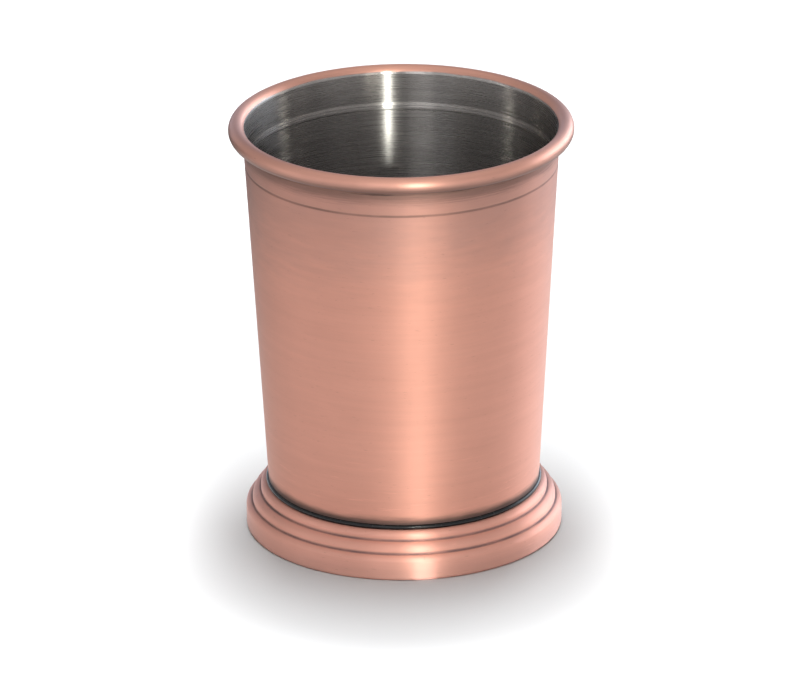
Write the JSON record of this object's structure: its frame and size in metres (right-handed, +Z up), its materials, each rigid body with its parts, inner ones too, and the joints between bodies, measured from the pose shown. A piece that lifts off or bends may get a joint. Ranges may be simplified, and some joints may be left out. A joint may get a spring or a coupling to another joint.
{
  "type": "julep cup",
  "caption": "Tapered metal julep cup with a rolled rim, a fine pressed groove under it and a rounded, stepped foot with a black seal ring.",
  "frame": {"origin": "on the table, under the middle of the cup", "axes": "+Z up along the cup's axis; the cup is round, so +X and +Y are free, and the picture looks along +Y"},
  "size_m": [0.0866, 0.0866, 0.108],
  "materials": {
    "copper_plated_cup": "antique brushed copper plate outside and over the rim, bare brushed steel inside",
    "copper_plated_foot": "antique brushed copper plate, darkened in the creases",
    "bare_steel": "satin, as pressed",
    "black_seal": "smooth and glossy"
  },
  "bodies": {
    "root": {"cup_shell": "copper_plated_cup", "foot_ring": "copper_plated_foot", "base_plate": "bare_steel", "seal_ring": "black_seal"}
  },
  "joints": []
}
